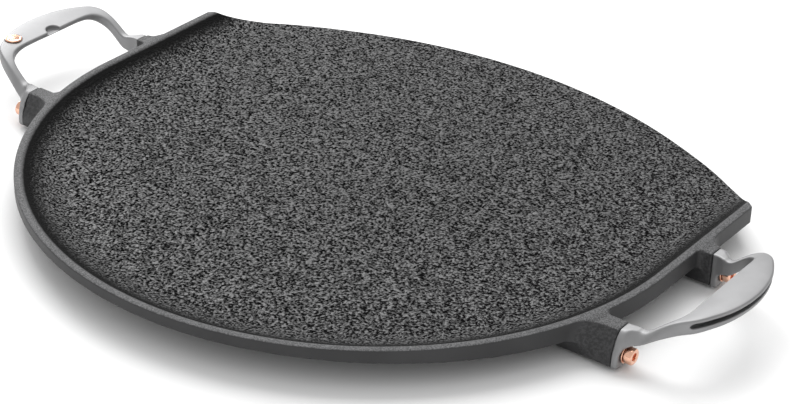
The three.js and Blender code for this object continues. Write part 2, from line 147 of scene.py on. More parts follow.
class FastenerSizes(bpy.types.PropertyGroup):
    """Sizes of the screws, washers and medallion"""

    gap: length(0.3, "Clearance between separate pieces")
    screw_diameter: length(5, "Thread diameter")
    screw_grip: length(12, "Thread length inside a lug")
    head_diameter: length(8.8, "Diameter of the screw head")
    head_length: length(4.2, "Length of the screw head")
    socket_flats: length(4, "Size of the hexagon socket")
    socket_depth: length(2.4, "Depth of the hexagon socket")
    washer_diameter: length(9.8, "Outer diameter of a washer")
    washer_thickness: length(0.8, "Thickness of a washer")
    screw_out: length(7.4, "Screw axis out from the finger side of a leg")
    screw_drop: length(13.8, "Screw axis below the rim top")
    medallion_diameter: length(9.6, "Diameter of the medallion")
    medallion_thickness: length(1.2, "Thickness of its head")
    medallion_proud: length(0.6, "Height above the grip")
    medallion_pin: length(3.4, "Diameter of its pin")
    medallion_inset: length(7.4, "Its centre out from the inner edge")
    medallion_along: length(26, "Its centre from the grip's middle")


class Finishes(bpy.types.PropertyGroup):
    """Colours and gloss of the finishes"""

    iron: colour((0.0165, 0.0165, 0.017), "Seasoned cooking surface")
    skirt: colour((0.034, 0.034, 0.035), "Smooth outer face of the casting")
    rim: colour((0.075, 0.075, 0.077), "Sandy top of the rim and the lugs")
    pebble_size: length(1.3, "Size of the cooking surface's pebbles")
    pebble_height: length(0.8, "Height of the pebbles")
    sand_size: length(0.7, "Grain of the rim and the lugs")
    iron_gloss: amount(0.40, "Roughness of the cooking surface")
    steel: colour((0.31, 0.31, 0.314), "Satin handles")
    steel_gloss: amount(0.56, "Roughness of the handles")
    copper: colour((0.86, 0.50, 0.36), "Screws, washers and medallion")
    copper_gloss: amount(0.13, "Roughness of the fasteners")


class StageSizes(bpy.types.PropertyGroup):
    """Camera, lights and floor"""

    azimuth: turn(35.113, "Camera's direction round the plate")
    elevation: turn(29.553, "Camera's height above the horizon")
    roll: turn(2.212, "Camera's turn about its own axis")
    distance: length(1183.4, "Camera to its target")
    target: FloatVectorProperty(
        description="Point that the camera looks at",
        default=(42.3 * MM, -13.3 * MM, 22 * MM), subtype="TRANSLATION", size=3)
    lens: amount(100.82, "Focal length in millimetres", 20, 300)
    sky: amount(0.80, "Strength of the even light from all round", 0, 5)
    key: amount(41.0, "Power of the soft light above, in watts", 0, 500)
    side: amount(12.0, "Power of the low light from the side, in watts", 0, 500)
    floor: colour((0.92, 0.92, 0.92), "Pale floor")


class GriddleSettings(bpy.types.PropertyGroup):
    """Everything that a user would change"""

    plate: PointerProperty(type=PlateSizes)
    handle: PointerProperty(type=HandleSizes)
    fastener: PointerProperty(type=FastenerSizes)
    finish: PointerProperty(type=Finishes)
    stage: PointerProperty(type=StageSizes)


def settings():
    return bpy.context.scene.griddle


def chosen(group, *names):
    """Some of a group's values, by name."""
    return {name: getattr(group, name) for name in names}


# ---- Node trees ----


class Value:
    """A node socket that takes part in plain arithmetic."""

    def __init__(self, tree, socket):
        self.tree = tree
        self.socket = socket

    def math(self, operation, *others, clamp=False):
        node = self.tree.nodes.new("ShaderNodeMath")
        node.operation = operation
        node.use_clamp = clamp
        for plug, value in zip(node.inputs, (self, *others)):
            put(self.tree, plug, value)
        return Value(self.tree, node.outputs[0])

    def __add__(self, other):
        return self.math("ADD", other)

    def __sub__(self, other):
        return self.math("SUBTRACT", other)

    def __mul__(self, other):
        return self.math("MULTIPLY", other)

    def __truediv__(self, other):
        return self.math("DIVIDE", other)

    def __pow__(self, other):
        return self.math("POWER", other)

    def __neg__(self):
        return self.math("MULTIPLY", -1.0)

    def __rsub__(self, other):
        return (-self).math("ADD", other)

    __radd__ = __add__
    __rmul__ = __mul__

    def clamp(self):
        return self.math("ADD", 0.0, clamp=True)

    def root(self):
        return self.math("MAXIMUM", 0.0).math("SQRT")

    def ramp(self, start, end):
        """0 at start and 1 at end, with a smooth rise between them."""
        node = self.tree.nodes.new("ShaderNodeMapRange")
        node.interpolation_type = "SMOOTHSTEP"
        for plug, value in zip(node.inputs, (self, start, end)):
            put(self.tree, plug, value)
        return Value(self.tree, node.outputs[0])

    def mix(self, low, high):
        """low where this is 0, high where it is 1."""
        return low + (high - low) * self if isinstance(low, Value) else (high - low) * self + low


def put(tree, plug, value):
    """Links a socket to a plug, or sets the plug's own value."""
    if isinstance(value, Value):
        tree.links.new(value.socket, plug)
    else:
        plug.default_value = value


def node(tree, kind, inputs=None, output=0, **options):
    """A new node with its inputs set by name or number; gives one of its outputs."""
    made = tree.nodes.new(kind)
    for option, value in options.items():
        setattr(made, option, value)
    for plug, value in (inputs or {}).items():
        put(tree, made.inputs[plug], value)
    return Value(tree, made.outputs[output])


def geometry_tree(name, sizes):
    """An empty geometry tree with named length inputs, and those inputs as values."""
    tree = bpy.data.node_groups.new(name, "GeometryNodeTree")
    tree.interface.new_socket("Geometry", in_out="OUTPUT", socket_type="NodeSocketGeometry")
    for label, default in sizes.items():
        socket = tree.interface.new_socket(label, in_out="INPUT", socket_type="NodeSocketFloat")
        socket.default_value = default
    tree.interface.new_socket("Material", in_out="INPUT", socket_type="NodeSocketMaterial")
    group = tree.nodes.new("NodeGroupInput")
    return tree, {plug.name: Value(tree, plug) for plug in group.outputs if plug.name}


def finish_tree(tree, geometry, material):
    """Ends a tree in Realize Instances and Set Material."""
    real = node(tree, "GeometryNodeRealizeInstances", {"Geometry": geometry})
    done = node(tree, "GeometryNodeSetMaterial", {"Geometry": real, "Material": material})
    put(tree, tree.nodes.new("NodeGroupOutput").inputs["Geometry"], done)


def mesh_from_tree(name, tree, material, sizes):
    """Plain mesh object made by a tree with these input sizes."""
    holder = bpy.data.objects.new(name, bpy.data.meshes.new(name + "_start"))
    bpy.context.collection.objects.link(holder)
    modifier = holder.modifiers.new("shape", "NODES")
    modifier.node_group = tree
    for item in tree.interface.items_tree:
        if item.in_out == "INPUT" and item.name in sizes:
            modifier[item.identifier] = sizes[item.name]
        if item.in_out == "INPUT" and item.name == "Material":
            modifier[item.identifier] = material
    evaluated = holder.evaluated_get(bpy.context.evaluated_depsgraph_get())
    mesh = bpy.data.meshes.new_from_object(evaluated)
    mesh.name = name
    holder.modifiers.clear()
    holder.data = mesh
    return holder


def unit_grid(tree, columns, rows):
    """A flat grid of points, 1 by 1, round the origin."""
    return node(tree, "GeometryNodeMeshGrid", {
        "Size X": 1.0, "Size Y": 1.0, "Vertices X": columns, "Vertices Y": rows})


def grid_number(tree, axis, count):
    """Number of each point of a unit grid along an axis that has this count of points."""
    place = node(tree, "ShaderNodeSeparateXYZ", {
        0: node(tree, "GeometryNodeInputPosition")}, output=axis)
    return (place + 0.5) * (count - 1)


def set_place(tree, geometry, x, y, z):
    place = node(tree, "ShaderNodeCombineXYZ", {0: x, 1: y, 2: z})
    return node(tree, "GeometryNodeSetPosition", {"Geometry": geometry, "Position": place})


def welded(tree, parts):
    """Joined geometry with its doubles merged."""
    join = tree.nodes.new("GeometryNodeJoinGeometry")
    for part in parts:
        tree.links.new(part.socket, join.inputs[0])
    return node(tree, "GeometryNodeMergeByDistance", {
        "Geometry": Value(tree, join.outputs[0]), "Distance": 0.002 * MM})


# ---- Closed meshes over a distance field ----


def smooth_min(a, b, k):
    """The lower of two distances, rounded where they meet over a width k."""
    h = np.maximum(k - np.abs(a - b), 0) / k
    return np.minimum(a, b) - h * h * k / 4


def smooth_max(a, b, k):
    return -smooth_min(-a, -b, k)


def rise(value, start, end):
    """0 at start and 1 at end, with a smooth rise between them."""
    t = np.clip((value - start) / (end - start), 0, 1)
    return t * t * (3 - 2 * t)


def field_mesh(field, low, high, step):
    """Points and quads of the closed surface where field(x, y, z) is 0, with the inside below 0."""
    axes = [np.arange(a, b + step, step) for a, b in zip(low, high)]
    value = field(*np.meshgrid(*axes, indexing="ij", sparse=True))
    inside = value < 0
    cells = tuple(n - 1 for n in value.shape)
    corners = [(i, j, k) for i in (0, 1) for j in (0, 1) for k in (0, 1)]
    total = sum(
        inside[tuple(slice(c, c + n) for c, n in zip(corner, cells))].astype(np.int8)
        for corner in corners)
    mixed = (total > 0) & (total < 8)
    where = np.argwhere(mixed)
    number = np.full(cells, -1)
    number[mixed] = np.arange(len(where))
    place = np.zeros((len(where), 3))
    crossings = np.zeros(len(where))
    for a in corners:
        for axis in range(3):
            if a[axis]:
                continue
            b = tuple(1 if i == axis else c for i, c in enumerate(a))
            va, vb = value[tuple((where + a).T)], value[tuple((where + b).T)]
            cut = (va < 0) != (vb < 0)
            share = np.where(cut, va / np.where(cut, va - vb, 1), 0)
            point = np.array(a) + share[:, None] * np.eye(3)[axis]
            place += np.where(cut[:, None], point, 0)
            crossings += cut
    points = (where + place / crossings[:, None]) * step + np.array(low)
    quads = []
    for axis in range(3):
        u, v = (axis + 1) % 3, (axis + 2) % 3
        first = [slice(1, -1)] * 3
        first[axis] = slice(0, -1)
        second = list(first)
        second[axis] = slice(1, None)
        starts, ends = inside[tuple(first)], inside[tuple(second)]
        base = np.argwhere(starts != ends) + np.array([0 if i == axis else 1 for i in range(3)])
        leaving = starts[starts != ends]
        loop = []
        for du, dv in ((1, 1), (0, 1), (0, 0), (1, 0)):
            at = base.copy()
            at[:, u] -= du
            at[:, v] -= dv
            loop.append(number[tuple(at.T)])
        quad = np.stack(loop, 1)
        quads.append(np.where(leaving[:, None], quad, quad[:, ::-1]))
    for _ in range(2):
        points = settle(field, points, step)
    return points, np.concatenate(quads)


def settle(field, points, step):
    """Moves points onto the surface along the field's slope."""
    reach = step / 20
    now = field(*points.T)
    slope = np.stack([
        field(*(points + reach * np.eye(3)[axis]).T) - now for axis in range(3)], 1) / reach
    steepness = np.maximum((slope ** 2).sum(1), 0.1)
    move = np.clip(now / steepness, -step / 2, step / 2)
    return points - move[:, None] * slope


def mesh_object(name, points, faces, material):
    """A smooth-shaded mesh object."""
    mesh = bpy.data.meshes.new(name)
    mesh.from_pydata(points.tolist(), [], faces.tolist())
    mesh.validate()
    mesh.materials.append(material)
    thing = bpy.data.objects.new(name, mesh)
    bpy.context.collection.objects.link(thing)
    return thing


def mirrored(points, faces):
    return points * [-1, 1, 1], faces[:, ::-1]


def join_solids(body, others):
    """Unites closed meshes into body."""
    for other in others:
        modifier = body.modifiers.new("join", "BOOLEAN")
        modifier.operation = "UNION"
        modifier.solver = "MANIFOLD"
        modifier.object = other
    evaluated = body.evaluated_get(bpy.context.evaluated_depsgraph_get())
    mesh = bpy.data.meshes.new_from_object(evaluated)
    body.modifiers.clear()
    body.data = mesh
    for other in others:
        bpy.data.objects.remove(other)
    return body


def shade(thing, sharp):
    """Smooth shading that stays crisp at edges sharper than this many degrees."""
    thing.data.shade_smooth()
    thing.data.set_sharp_from_angle(angle=math.radians(sharp))


def place_piece(thing, slot, *nodes):
    """Hands a finished piece to the frame in place of its CAD nodes."""
    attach(thing, "root")
    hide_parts(*nodes)


# ---- Finishes ----


def new_material(name):
    """An empty material, its tree, and its shader linked to the output."""
    material = bpy.data.materials.new(name)
    material.use_nodes = True
    tree = material.node_tree
    tree.nodes.clear()
    shader = tree.nodes.new("ShaderNodeBsdfPrincipled")
    output = tree.nodes.new("ShaderNodeOutputMaterial")
    tree.links.new(shader.outputs[0], output.inputs[0])
    return material, tree, shader


def noise(tree, size, detail=2.0, roughness=0.5, distortion=0.0):
    """Noise on object coordinates, from about 0 to 1, with grains of this size."""
    return node(tree, "ShaderNodeTexNoise", {
        "Vector": node(tree, "ShaderNodeTexCoord", output="Object"), "Scale": 1 / size,
        "Detail": detail, "Roughness": roughness, "Distortion": distortion})


def bump(tree, height, distance, normal=None):
    inputs = {"Height": height, "Distance": distance, "Strength": 1.0}
    if normal:
        inputs["Normal"] = normal
    return node(tree, "ShaderNodeBump", inputs)


def tint(tree, share, low, high):
    """Colour mixed from low to high."""
    mixer = tree.nodes.new("ShaderNodeMix")
    mixer.data_type = "RGBA"
    put(tree, mixer.inputs["Factor"], share)
    for plug, value in ((mixer.inputs[6], low), (mixer.inputs[7], high)):
        put(tree, plug, value if isinstance(value, Value) else (*value, 1.0))
    return Value(tree, mixer.outputs[2])


def shaded(base, factor):
    return tuple(min(1.0, part * factor) for part in base)


def two_tone(tree, share, base, low, high):
    """A colour varied between two shades of itself."""
    return tint(tree, share, shaded(base, low), shaded(base, high))


def iron_finish():
    """Seasoned cast iron: pebbled floor, smooth hollow and skirt, sandy rim and lugs. Shade and
    highlights are painted into the floor's colour.
    """
    look, plate = settings().finish, settings().plate
    material, tree, shader = new_material("seasoned_cast_iron")
    inset = node(tree, "ShaderNodeAttribute", output="Fac", attribute_name="rim_inset")
    facing = node(tree, "ShaderNodeSeparateXYZ", {
        0: node(tree, "ShaderNodeNewGeometry", output="Normal")}, output=2)
    up = facing.ramp(0.55, 0.85)
    edge = plate.rim_width
    rim_top = up * (1.0 - inset.ramp(edge - 0.4 * MM, edge + 1.2 * MM))
    floor = up * inset.ramp(edge, edge + 1.5 * MM)
    side = 1.0 - up
    lug = inset.ramp(-0.2 * MM, -1.4 * MM) * side
    pebbled = floor * inset.ramp(edge + 0.5 * MM, edge + 9 * MM)

    pebbles = noise(tree, look.pebble_size, detail=1.2, distortion=0.2).ramp(0.39, 0.66)
    grain = noise(tree, look.sand_size, detail=2.5, roughness=0.6)
    coarse = noise(tree, look.sand_size * 2.2, roughness=0.6)
    blotch = noise(tree, 38 * MM, detail=3.0)

    # Painted shade: the floor's colour is darkened in the hollow curve just inside the rim.
    painted_cove_shade = floor * (1.0 - inset.ramp(edge + 4 * MM, edge + 15 * MM))
    # Painted shade and highlight: the pebbles are coloured dark in their creases and light on their
    # tops.
    floor_colour_with_painted_light = two_tone(tree, pebbles, look.iron, 0.3, 2.5)
    floor_colour_with_painted_light = tint(tree, painted_cove_shade, floor_colour_with_painted_light, shaded(look.iron, 0.2))
    skirt_colour = two_tone(tree, blotch.ramp(0.3, 0.7), look.skirt, 0.85, 1.2)
    lug_colour = tint(
        tree, coarse.ramp(0.38, 0.66), shaded(look.skirt, 0.9), shaded(look.rim, 0.75))
    rim_colour = two_tone(tree, grain.ramp(0.34, 0.7), look.rim, 0.45, 1.9)
    base = tint(tree, lug, skirt_colour, lug_colour)
    base = tint(tree, floor, base, floor_colour_with_painted_light)
    base = tint(tree, rim_top, base, rim_colour)
    put(tree, shader.inputs["Base Color"], base)

    gloss = rim_top.mix(pebbled.mix(0.5, look.iron_gloss), 0.62)
    put(tree, shader.inputs["Roughness"], gloss + (grain - 0.5) * 0.08)

    normal = bump(tree, pebbles * pebbled, look.pebble_height)
    sandy = (rim_top + lug).clamp()
    normal = bump(tree, (grain * 0.6 + coarse * 0.4) * sandy, 0.35 * MM, normal)
    normal = bump(tree, grain, 0.03 * MM, normal)
    put(tree, shader.inputs["Normal"], normal)
    # Painted shade: the floor reflects less in the hollow inside the rim and in the creases between
    # the pebbles, and more on the pebble tops.
    put(tree, shader.inputs["Specular IOR Level"], floor.mix(0.3, painted_cove_shade.mix(pebbles, 0.03)))
    return material


def steel_finish():
    """Satin steel with a faint cast and polished grain."""
    look = settings().finish
    material, tree, shader = new_material("satin_steel")
    cloud = noise(tree, 16 * MM)
    fine = noise(tree, 0.45 * MM, roughness=0.6)
    put(tree, shader.inputs["Base Color"], two_tone(
        tree, cloud.ramp(0.3, 0.7), look.steel, 0.93, 1.04))
    put(tree, shader.inputs["Roughness"], cloud * 0.08 + fine * 0.05 + (look.steel_gloss - 0.06))
    ripple = bump(tree, cloud, 0.10 * MM)
    put(tree, shader.inputs["Normal"], bump(tree, fine, 0.012 * MM, ripple))
    shader.inputs["Metallic"].default_value = 1.0
    return material


def copper_finish():
    """Polished copper plating."""
    look = settings().finish
    material, tree, shader = new_material("polished_copper")
    cloud = noise(tree, 3 * MM)
    put(tree, shader.inputs["Base Color"], two_tone(
        tree, cloud.ramp(0.3, 0.7), look.copper, 0.9, 1.08))
    put(tree, shader.inputs["Roughness"], cloud * 0.08 + (look.copper_gloss - 0.04))
    put(tree, shader.inputs["Normal"], bump(tree, cloud, 0.02 * MM))
    shader.inputs["Metallic"].default_value = 1.0
    return material


def finish(name):
    """The material for a finish, made the first time it is asked for."""
    makers = {"cast_iron": iron_finish, "satin_steel": steel_finish, "copper": copper_finish}
    made = bpy.data.materials.get("griddle_" + name)
    if not made:
        made = makers[name]()
        made.name = "griddle_" + name
    return made


# ---- Plate ----

RIM_COLUMNS = 261      # points along the rim, from one front corner round to the other
TOP_ROWS = 46          # points from the rim's edge to the middle
FACE_ROWS = 7          # points down the rim's outer face
SIDE_SHARE = 0.22      # share of the columns on each straight side
ROW_POWER = 2.1        # crowds the rows towards the rim
BULGE_POWER = 20       # keeps the front wall's swell clear of the two corners
LUG_STEP = 0.62 * MM   # grid of the lugs' distance fields
RING_TURNS = 180       # points round the foot ring
OUTLINE_ROUNDING = 2.2 * MM  # corners of a lug's end and of a handle's foot
TRAY_SIZES = (
    "half_width", "front_reach", "front_radius", "front_swell", "front_cut", "height",
    "rim_rise", "rim_width", "cove_width", "floor_thickness", "skirt_back", "skirt_sides",
    "underside_blend", "edge_radius")


def rim_centre_y():
    """The rim centre, from the CAD plate's back edge."""
    return PLATE_LOW.y + settings().plate.half_width


def tray_tree():
    """Geometry tree of the tray: a rim section that follows the plan, with an open front edge."""
    tree, size = geometry_tree("griddle_tray", dict.fromkeys((*TRAY_SIZES, "centre_y"), 0.0))
    half, rounding = size["half_width"], size["edge_radius"]

    def fillet(inset):
        """How far a rounded edge falls back at this inset."""
        left = (rounding - inset).math("MAXIMUM", 0.0)
        return rounding - (rounding * rounding - left * left).root()

    def heights(inset, y):
        """Top and underside heights at an inset from the rim's outer face."""
        fall = 1.0 - ((inset - size["rim_width"]) / size["cove_width"]).clamp()
        top = size["height"] - size["rim_rise"] * (1.0 - fall * fall) - fillet(inset)
        skirt = ((y + half) / half).ramp(0.0, 0.65).mix(size["skirt_back"], size["skirt_sides"])
        low = size["height"] - size["rim_rise"] - size["floor_thickness"]
        rest = 1.0 - (inset / size["underside_blend"]).clamp()
        under = low + (size["height"] - skirt - low) * rest * rest + fillet(inset)
        return top, under

    def front(x):
        reach, radius = size["front_reach"], size["front_radius"]
        share = x.math("ABSOLUTE") / half
        swell = size["front_swell"] * share.ramp(0.6, 0.85)
        cut = size["front_cut"] * share.ramp(0.87, 0.985)
        return reach - radius + (radius * radius - x * x).root() + swell - cut

    # The shell: columns round the rim, rows from the middle over the rim and back underneath.
    rows = 2 * TOP_ROWS + FACE_ROWS + 1
    row = grid_number(tree, 1, rows)
    along = grid_number(tree, 0, RIM_COLUMNS) / (RIM_COLUMNS - 1)
    bend = ((along - SIDE_SHARE) / (1 - 2 * SIDE_SHARE)).clamp()
    angle = bend * -math.pi
    side = (((along - 0.5).math("ABSOLUTE") - (0.5 - SIDE_SHARE)) / SIDE_SHARE).clamp()
    out_top = ((TOP_ROWS - row) / TOP_ROWS).clamp()
    out_under = ((row - TOP_ROWS - FACE_ROWS) / TOP_ROWS).clamp()
    down = ((row - TOP_ROWS) / FACE_ROWS).clamp()
    inset = half * (out_top ** ROW_POWER + out_under ** ROW_POWER)
    x = (half - inset) * angle.math("COSINE")
    y = (half - inset) * angle.math("SINE") + front(x) * side
    top, under = heights(inset, y)
    shell = set_place(tree, unit_grid(tree, RIM_COLUMNS, rows), x, y + size["centre_y"],
                      down.mix(top, under))

    # The front wall between the two ends of the shell.
    columns, rows = 2 * TOP_ROWS + 1, FACE_ROWS + 1
    across = grid_number(tree, 0, columns) / TOP_ROWS - 1.0
    inset = half * (1.0 - across.math("ABSOLUTE")).clamp() ** ROW_POWER
    x = (half - inset) * across.math("SIGN")
    down = grid_number(tree, 1, rows) / FACE_ROWS
    bulge = 1.0 - across.math("ABSOLUTE") ** BULGE_POWER
    y = front(x) + rounding * 2.4 * down * (1.0 - down) * bulge
    top, under = heights(inset, front(x))
    wall = set_place(tree, unit_grid(tree, columns, rows), x, y + size["centre_y"],
                     down.mix(top, under))
    finish_tree(tree, welded(tree, [shell, wall]), size["Material"])
    return tree


def tray_top(plate, inset):
    """Height of the tray's upper surface at an inset."""
    fall = 1 - np.clip((inset - plate.rim_width) / plate.cove_width, 0, 1)
    return plate.height - plate.rim_rise * (1 - fall ** 2)


def tray_under(plate, inset, y):
    """Height of the tray's underside at an inset; y is from the rim centre."""
    skirt = plate.skirt_back + (plate.skirt_sides - plate.skirt_back) * rise(
        (y + plate.half_width) / plate.half_width, 0, 0.65)
    low = plate.height - plate.rim_rise - plate.floor_thickness
    rest = 1 - np.clip(inset / plate.underside_blend, 0, 1)
    return low + (plate.height - skirt - low) * rest ** 2


def rim_inset(plate, x, y):
    """Distance in from the rim's outer face; y is from the rim centre."""
    return plate.half_width - np.hypot(x, np.minimum(y, 0))


def foot_outline(plate):
    """Closed outline of a lug's end and of a handle's foot, out from the finger side and down
    from the rim top, in order: inner top, outer top, bulged side, base."""
    low = plate.lug_clearance - plate.height
    top, base = plate.lug_top_width, plate.lug_base_width
    side_bulge = 3.4 * MM
    side = []
    for t in np.linspace(0, 1, 13):
        bulge = side_bulge * 4 * t * (1 - t)
        out = top + (base - top) * t + bulge * 0.92
        side.append((out, low * t - plate.lug_drop * (1 - t) + bulge * 0.38))
    return np.array([(0.0, -plate.lug_drop), *side, (0.6 * MM, low)])


def outline_distance(outline, out, z):
    """Signed distance to an outline whose corners are rounded."""
    outside = np.full(np.broadcast(out, z).shape, np.inf)
    inside = np.zeros(outside.shape, bool)
    centre = outline.mean(0)
    shrunk = outline + OUTLINE_ROUNDING * unit(centre - outline) * 1.1
    for (ax, az), (bx, bz) in zip(shrunk, np.roll(shrunk, -1, 0)):
        dx, dz = bx - ax, bz - az
        t = np.clip(((out - ax) * dx + (z - az) * dz) / (dx * dx + dz * dz), 0, 1)
        outside = np.minimum(outside, np.hypot(out - ax - t * dx, z - az - t * dz))
        crosses = ((az > z) != (bz > z)) & (out < ax + (z - az) * dx / (dz if dz else 1))
        inside ^= crosses
    return np.where(inside, -outside, outside) - OUTLINE_ROUNDING


def unit(vectors):
    return vectors / np.linalg.norm(vectors, axis=-1, keepdims=True)


def lug_field(plate, end):
    """Distance field of a right-hand lug that flows into the rim."""
    outline = foot_outline(plate)
    overrun = 4 * MM           # the outline's top stands above the cut that shapes the lug's top
    outline[outline[:, 1] > -plate.lug_drop - 0.1 * MM, 1] += overrun
    centre = rim_centre_y()
    fastener = settings().fastener
    tail_rise, tail_start, tail_end = 8.5 * MM, 9 * MM, 27 * MM
    depth = 33 * MM            # inset at which the lug ends under the cooking floor

    def field(x, y, z):
        from_centre = y - centre
        out = end * (from_centre - plate.pair_offset) - plate.leg_gap
        inset = rim_inset(plate, x, from_centre)
        wall = np.maximum(-inset, tray_under(plate, inset, from_centre) - z)
        body = outline_distance(outline, out, z - plate.height)
        low = plate.lug_clearance + tail_rise * rise(inset, tail_start, tail_end)
        body = smooth_max(body, low - z, 1.5 * MM)
        blend = plate.inner_fillet + (plate.outer_fillet - plate.inner_fillet) * rise(
            out, 0, plate.lug_top_width)
        both = smooth_min(wall, body, blend)
        away = np.maximum(
            rise(out, plate.lug_base_width + 5 * MM, plate.lug_base_width + 13 * MM),
            np.maximum(rise(-out, plate.inner_fillet, plate.inner_fillet + 6 * MM),
                       rise(inset, 24 * MM, 31 * MM)))
        both = both + 0.4 * MM * away
        skin = 0.05 * MM
        top = tray_top(plate, np.maximum(inset, 0)) - skin
        top = top - (plate.lug_drop - skin) * rise(-inset, 0, 4 * MM)
        top = top - 2 * MM * rise(inset, 0.8 * MM, 3.8 * MM)
        both = smooth_max(both, z - top, 1.1 * MM)
        both = smooth_max(both, x - plate.half_width - plate.lug_reach, 0.9 * MM)
        axis = np.hypot(out - fastener.screw_out, z - plate.height + fastener.screw_drop)
        tip = plate.half_width + plate.lug_reach - fastener.screw_grip - fastener.gap
        hole = np.minimum(fastener.screw_diameter / 2 + fastener.gap - axis, x - tip)
        both = np.maximum(both, hole)
        ends = np.maximum(out - plate.lug_base_width - 15 * MM, -out - plate.inner_fillet - 8 * MM)
        return np.maximum(np.maximum(both, ends), inset - depth)

    return field


def lug_mesh(plate, end):
    reach = plate.lug_base_width + 16 * MM
    middle = rim_centre_y() + plate.pair_offset
    near = middle + end * (plate.leg_gap - plate.inner_fillet - 9 * MM)
    far = middle + end * (plate.leg_gap + reach)
    low = (plate.half_width - 56 * MM, min(near, far), plate.lug_clearance - 1.7 * MM)
    high = (plate.half_width + plate.lug_reach + 1 * MM, max(near, far), plate.height + 1.5 * MM)
    return field_mesh(lug_field(plate, end), low, high, LUG_STEP)


def ring_mesh(plate):
    """The foot ring, as a turned section."""
    radius = plate.half_width - plate.ring_inset
    inner = radius - plate.ring_width
    top = plate.height - plate.rim_rise - plate.floor_thickness / 2
    draft, edge = 1.2 * MM, 0.8 * MM
    corner = edge * 0.3
    section = [
        (inner + edge, 0), (radius - edge, 0), (radius - corner, corner), (radius, edge),
        (radius + draft, top), (inner - draft, top), (inner, edge), (inner + corner, corner)]
    angles = np.arange(RING_TURNS) * 2 * math.pi / RING_TURNS
    points = np.array([
        (r * math.cos(a), r * math.sin(a) + rim_centre_y(), z) for a in angles for r, z in section])
    count = len(section)
    faces = np.array([
        (i * count + j, ((i + 1) % RING_TURNS) * count + j,
         ((i + 1) % RING_TURNS) * count + (j + 1) % count, i * count + (j + 1) % count)
        for i in range(RING_TURNS) for j in range(count)])
    return points, faces


def screw_axis(end):
    """Y and Z of a screw's axis."""
    plate, fastener = settings().plate, settings().fastener
    y = rim_centre_y() + plate.pair_offset + end * (plate.leg_gap + fastener.screw_out)
    return y, plate.height - fastener.screw_drop


def foot_planes():
    """X of a foot's back and of its face."""
    plate, fastener = settings().plate, settings().fastener
    back = plate.half_width + plate.lug_reach + fastener.gap
    return back, back + settings().handle.foot_thickness


class GRIDDLE_OT_plate(bpy.types.Operator):
    """Casts the plate with its rim, lugs and foot ring as one piece"""

    bl_idname = "griddle.plate"
    bl_label = "Griddle plate"

    def execute(self, context):
        plate = settings().plate
        iron = finish("cast_iron")
        sizes = {**chosen(plate, *TRAY_SIZES), "centre_y": rim_centre_y()}
        body = mesh_from_tree("griddle_plate_casting", tray_tree(), iron, sizes)
        solids = [mesh_object("foot_ring", *ring_mesh(plate), iron)]
        for _, end in ENDS:
            lug = lug_mesh(plate, end)
            solids.append(mesh_object("lug", *lug, iron))
            solids.append(mesh_object("lug", *mirrored(*lug), iron))
        join_solids(body, solids)
        shade(body, 50)
        co = np.empty(len(body.data.vertices) * 3)
        body.data.vertices.foreach_get("co", co)
        x, y, _ = co.reshape(-1, 3).T
        attribute = body.data.attributes.new("rim_inset", "FLOAT", "POINT")
        attribute.data.foreach_set("value", rim_inset(plate, x, y - rim_centre_y()))
        place_piece(body, "cast_iron", "griddle_plate")
        return {"FINISHED"}


# ---- Handles ----

KEY_STEPS = 24         # sections between two key sections
SOFTEN_STEPS = 7       # sections over which the keys are smoothed
HANDLE_STEP = 0.55 * MM  # grid of the handles' distance fields
LOCATE_BLOCK = 6000    # plan points that are placed at one time


def key_sections(plate, handle):
    """Half a handle's key sections, from a foot to the middle of the grip. Columns: plan place of
    the inner edge (x, y from the handle's middle) and of the top's outer edge, heights of both
    above the rim top, thickness at both, crown of the top, bulge of the outer side, and how much
    wider the section is at its base."""
    face = foot_planes()[1] / MM
    inner = (plate.half_width + handle.grip_inner) / MM
    outer = inner + handle.grip_width / MM
    lift, gap = handle.grip_rise / MM, plate.leg_gap / MM
    far = gap + handle.leg_width / MM
    thin, thick = handle.inner_thickness / MM, handle.outer_thickness / MM

    def leg(share, shift=0.0):
        return face + (inner - face) * share + shift

    return MM * np.array([
        (leg(0, -1), gap - 0.2, leg(0, -1), far - 0.2, -0.8, -1, 9.5, 7, 0.2, 0.6, 5.4),
        (leg(0.12), gap - 0.8, leg(0.12), far - 1, -1.3, -1.5, 9, 6.2, 0.2, 0.3, 4.6),
        (leg(0.3), gap - 1.4, leg(0.3), far - 2.2, -1.6, -1.7, 8, 5.2, 0.2, 0.3, 4),
        (leg(0.5), gap - 1.7, leg(0.5), far - 2.5, 2.2, 2.2, 7.4, 5.9, 0.2, 0.4, 3),
        (leg(0.7), gap - 2.4, leg(0.73), far - 2.9, 0.53 * lift, 0.56 * lift,
         6.8, 6.8, 0.2, 0.5, 1.6),
        (leg(0.86), gap - 4.8, leg(1, 0.4), far - 4.6, 0.75 * lift, 0.9 * lift,
         5.6, 7.6, 0.3, 0.6, 0.4),
        (leg(0.96), gap - 8.4, leg(1, 6.8), far - 8.6, 0.89 * lift, lift + 0.4,
         4.2, 8.2, 0.6, 0.5, -0.4),
        (inner - 0.2, gap - 13.4, outer - 7.6, far - 15.8, 0.97 * lift, lift + 0.8,
         3, 8.2, 0.9, 0.4, -0.8),
        (inner, gap - 21, outer - 3.4, far - 25, lift, lift + 1.1,
         thin, thick + 0.6, 1.1, 0.4, -1),
        (inner, gap - 31, outer - 0.9, far - 35.6, lift, lift + 1.2,
         thin, thick + 0.2, 1.2, 0.4, -1),
        (inner, 0, outer, 0, lift, lift + 1.2, thin, thick, 1.2, 0.4, -1),
    ])


